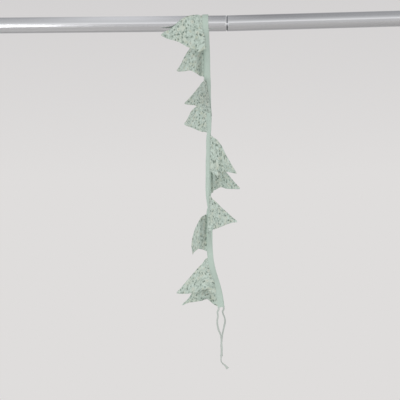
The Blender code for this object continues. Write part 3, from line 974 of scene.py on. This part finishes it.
def soften(obj, width, finish):
    """Rounds the sharp edges of a hard piece by this width in mm, and gives it its material."""
    rounding = obj.modifiers.new("rounding", "BEVEL")
    rounding.width = width * MM
    rounding.segments = 3
    rounding.limit_method = "ANGLE"
    rounding.angle_limit = math.radians(40)
    bpy.ops.object.modifier_apply(modifier=rounding.name)
    bpy.ops.object.shade_smooth_by_angle(angle=math.radians(35))
    obj.data.materials.append(finish)


def rail_tube(name, outline, finish):
    """A drawn tube: its skin with a wall inside it, and softened rims."""
    obj = turned_skin(name, outline)
    wall = obj.modifiers.new("wall", "SOLIDIFY")
    wall.thickness = RAIL_WALL * MM
    wall.offset = -1.0
    wall.use_even_offset = True
    bpy.ops.object.modifier_apply(modifier=wall.name)
    soften(obj, RIM_ROUND, finish)
    obj.select_set(False)
    return obj


def end_plug(name, finish):
    """A moulded plug: a flange that covers the tube's end and a body that fits its bore."""
    bpy.ops.mesh.primitive_cylinder_add(
        vertices=RAIL_SIDES, radius=RAIL_RADIUS * MM, depth=PLUG_FLANGE * MM,
        location=(PLUG_FLANGE / 2 * MM, 0, 0), rotation=(0, math.pi / 2, 0),
    )
    obj = bpy.context.object
    obj.name = name
    bpy.ops.object.transform_apply(location=True, rotation=True, scale=True)
    bpy.ops.object.mode_set(mode="EDIT")
    bpy.ops.mesh.select_mode(type="FACE")
    bpy.ops.mesh.select_all(action="DESELECT")
    bpy.ops.object.mode_set(mode="OBJECT")
    for face in obj.data.polygons:
        face.select = face.normal.x > 0.9
    bpy.ops.object.mode_set(mode="EDIT")
    bpy.ops.mesh.inset(thickness=(RAIL_RADIUS - PLUG_FIT) * MM)
    inwards = {"value": ((PLUG_DEPTH - PLUG_FLANGE) * MM, 0, 0)}
    bpy.ops.mesh.extrude_region_move(TRANSFORM_OT_translate=inwards)
    bpy.ops.object.mode_set(mode="OBJECT")
    soften(obj, PLUG_ROUND, finish)
    return obj


def settle(obj, along, tilt):
    """Moves a finished piece to its place on the rail, tilts it there, and fixes that in its mesh."""
    pick_only(obj)
    obj.location = along
    obj.rotation_euler = (0.0, tilt, 0.0)
    bpy.ops.object.transform_apply(location=True, rotation=True, scale=True)
    obj.select_set(False)


def garment_rail(chrome, plastic):
    """The two tubes of the rail and the plugs in their outer ends."""
    start = PLUG_FLANGE + GAP
    left = rail_tube(
        "chrome_tube_left",
        (
            (start, RAIL_RADIUS),
            (start + RIM_HELD, RAIL_RADIUS),
            (SEAM_AT - RIM_LENGTH - RIM_HELD, RAIL_RADIUS),
            (SEAM_AT - RIM_LENGTH, RAIL_RADIUS),
            (SEAM_AT, RAIL_RADIUS - RIM_DROP),
        ),
        chrome,
    )
    right_length = (RAIL_LENGTH - SEAM_AT - SEAM_GAP) / math.cos(SEAM_TILT)
    right = rail_tube(
        "chrome_tube_right",
        (
            (-SPIGOT_LENGTH, SPIGOT_RADIUS),
            (0.0, SPIGOT_RADIUS),
            (0.0, RAIL_RADIUS - RIM_DROP),
            (RIM_LENGTH, RAIL_RADIUS),
            (RIM_LENGTH + RIM_HELD, RAIL_RADIUS),
            (right_length - PLUG_FLANGE - GAP - RIM_HELD, RAIL_RADIUS),
            (right_length - PLUG_FLANGE - GAP, RAIL_RADIUS),
        ),
        chrome,
    )
    seam = (SEAM_AT + SEAM_GAP) * MM
    settle(right, (seam, 0.0, 0.0), -SEAM_TILT)
    left_plug = end_plug("end_plug_left", plastic)
    right_plug = end_plug("end_plug_right", plastic)
    end = (RAIL_LENGTH * MM, 0.0, right_length * math.sin(SEAM_TILT) * MM)
    settle(right_plug, end, math.pi - SEAM_TILT)
    for piece, node, slot in (
        (left, "rail_tube_left", "chromed_steel"),
        (right, "rail_tube_right", "chromed_steel"),
        (left_plug, "rail_plug_left", "grey_plastic"),
        (right_plug, "rail_plug_right", "grey_plastic"),
    ):
        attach(piece, "root")
        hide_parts(node)


def add_to_scene(obj, at, rotation):
    """Puts a camera or a light in its place."""
    obj.location = at
    obj.rotation_euler = rotation
    bpy.context.scene.collection.objects.link(obj)


def camera():
    """The camera that took the photograph."""
    data = bpy.data.cameras.new("camera")
    data.sensor_width = CAMERA_SENSOR
    data.lens = CAMERA_LENS
    data.clip_end = 50.0
    obj = bpy.data.objects.new("camera", data)
    add_to_scene(obj, Vector(CAMERA_AT) * MM, (math.pi / 2, CAMERA_ROLL, 0.0))
    bpy.context.scene.camera = obj


# The lights, in metres and watts: name, place, what it faces, size, power and colour
LIGHTS = (
    ("softbox_left", (-0.80, -2.3, -0.75), (0.4, 0.0, -0.4), 1.2, 19.0, "#FFFFFF"),
    ("softbox_right", (2.15, -2.0, -0.75), (0.4, 0.0, -0.4), 1.2, 12.0, "#FFFDFA"),
    ("floor_glow", (-0.1, 0.1, -1.1), (-0.1, 0.1, -1.7), 0.8, 1.6, "#FFFFFF"),
)
FLOOR_SIZE = 4.5
FLOOR_AT = (0.45, 0.0, -1.7)


def area_light(name, at, towards, size, power, colour):
    """A square soft light that faces a point."""
    data = bpy.data.lights.new(name, "AREA")
    data.shape = "RECTANGLE"
    data.size = data.size_y = size
    data.energy = power
    data.color = linear(colour)[:3]
    facing = (Vector(towards) - Vector(at)).to_track_quat("-Z", "Y").to_euler()
    add_to_scene(bpy.data.objects.new(name, data), at, facing)


# The pale room by height, from straight down at 0 to straight up at 1
ROOM_BANDS = (
    (0.0, "#C2C1C0"), (0.25, "#C4C3C3"), (0.425, "#C6C5C5"), (0.48, "#DCDBDB"), (0.52, "#F6F5F5"),
    (0.57, "#F2F2F2"), (0.64, "#E2E2E3"), (0.80, "#E0E0E1"), (0.925, "#F0F0F1"), (1.0, "#EEEEF0"),
)

# How dark its upper part is from left to right, as a grey where white is darkest
ROOM_SIDES = (
    (0.20, "#5A5A5A"), (0.31, "#C8C8C8"), (0.36, "#C0C0C0"), (0.383, "#B0B0B0"), (0.407, "#787878"),
    (0.425, "#000000"), (0.458, "#000000"), (0.475, "#7D7D7D"), (0.50, "#BEBEBE"),
    (0.52, "#E6E6E6"), (0.545, "#DCDCDC"), (0.575, "#CDCDCD"), (0.645, "#C8C8C8"),
    (0.75, "#AAAAAA"), (0.88, "#3C3C3C"),
)


def colour_ramp(tree, value, stops):
    """A ramp through these stops, each a place from 0 to 1 and a colour."""
    made = add_node(tree, "ShaderNodeValToRGB", {"Fac": value})
    elements = made.color_ramp.elements
    while len(elements) < len(stops):
        elements.new(1.0)
    for element, (at, colour) in zip(elements, stops):
        element.position = at
        element.color = linear(colour)
    return made.outputs["Color"]


def pale_room():
    """The room that lights the cloth and that the rail reflects, and a plain backdrop for the camera."""
    world = bpy.data.worlds.new("pale room")
    world.use_nodes = True
    bpy.context.scene.world = world
    tree = world.node_tree
    tree.nodes.clear()
    way = add_node(tree, "ShaderNodeTexCoord").outputs["Generated"]
    across, behind, up = add_node(tree, "ShaderNodeSeparateXYZ", {0: way}).outputs
    bands = colour_ramp(tree, remap(tree, up, -1.0, 1.0), ROOM_BANDS)
    shaded = blend_colour(tree, remap(tree, behind, -0.1, 0.5, 0.0, 0.15), bands, "#5A5A5C")
    beside = colour_ramp(tree, remap(tree, across, -0.5, 0.5), ROOM_SIDES)
    darker = reckon(tree, "MULTIPLY", beside, remap(tree, up, 0.15, 0.85))
    uneven = blend_colour(tree, darker, shaded, "#4C4C4E")
    lit = blend_colour(tree, remap(tree, across, -0.2, -0.7, 0.0, 0.6), uneven, "#FFFFFF")
    surround = add_node(tree, "ShaderNodeBackground", {"Color": lit, "Strength": 1.05})
    rise = remap(tree, up, 0.02, 0.16)
    plain = blend_colour(tree, rise, "#DFDDDC", "#D4D2D2")
    backdrop = add_node(tree, "ShaderNodeBackground", {"Color": plain, "Strength": 1.0})
    seen = add_node(tree, "ShaderNodeLightPath").outputs["Is Camera Ray"]
    shown = add_node(tree, "ShaderNodeMixShader", {0: seen, 1: surround.outputs[0], 2: backdrop.outputs[0]})
    add_node(tree, "ShaderNodeOutputWorld", {"Surface": shown.outputs[0]})


def studio():
    """A plain pale room with two softboxes, a soft glow on the floor, and the floor well below the part."""
    for light in LIGHTS:
        area_light(*light)
    pale_room()
    bpy.ops.mesh.primitive_plane_add(size=FLOOR_SIZE, location=FLOOR_AT)
    floor = bpy.context.object
    floor.name = "floor"
    floor.data.materials.append(painted_floor())
    floor.select_set(False)
    bpy.context.scene.view_settings.view_transform = "Standard"


def main():
    """Builds the camera, the ties, the rail, the binding and its flags, and the room."""
    camera()
    strands = {side: Strand(side) for side in WORDS}
    binding_cotton = cotton_binding("plain dyed cotton binding", "#B0C0B6", "#B8C8BE", "#A0B0A6")
    # The ties get a darker, greyer copy of the binding's cotton: painted shade for the shading of their
    # narrow, edge-on strips
    tie_cotton_painted_shade = cotton_binding("plain dyed cotton tie with painted shade", "#B0B7B2", "#BBC3BD", "#959C97")
    print_cotton = cotton_lawn_print()

    for side, word in WORDS.items():
        hanging, exit_point, length, line = tie(f"flat_tie_{word}", strands[side], tie_cotton_painted_shade)
        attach(hanging, "root")
        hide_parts(f"tie_{word}")

    garment_rail(chromed_steel(), moulded_plastic())

    stitches = topstitching(strands, cotton_thread())
    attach(stitches, "root")
    binding = folded_binding(strands, binding_cotton)
    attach(binding, "root")
    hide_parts("binding_tape")

    for side, word in WORDS.items():
        for number, (run, folds) in enumerate(FLAGS[side], 1):
            seed = number + (0 if side == FRONT else len(FRONT_FLAGS))
            name = f"cloth_flag_{word}_{number}"
            cloth, size, area = flag(name, strands[side], run, folds, seed, print_cotton)
            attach(cloth, "root")
            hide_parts(f"flag_{word}_{number}")

    studio()


main()
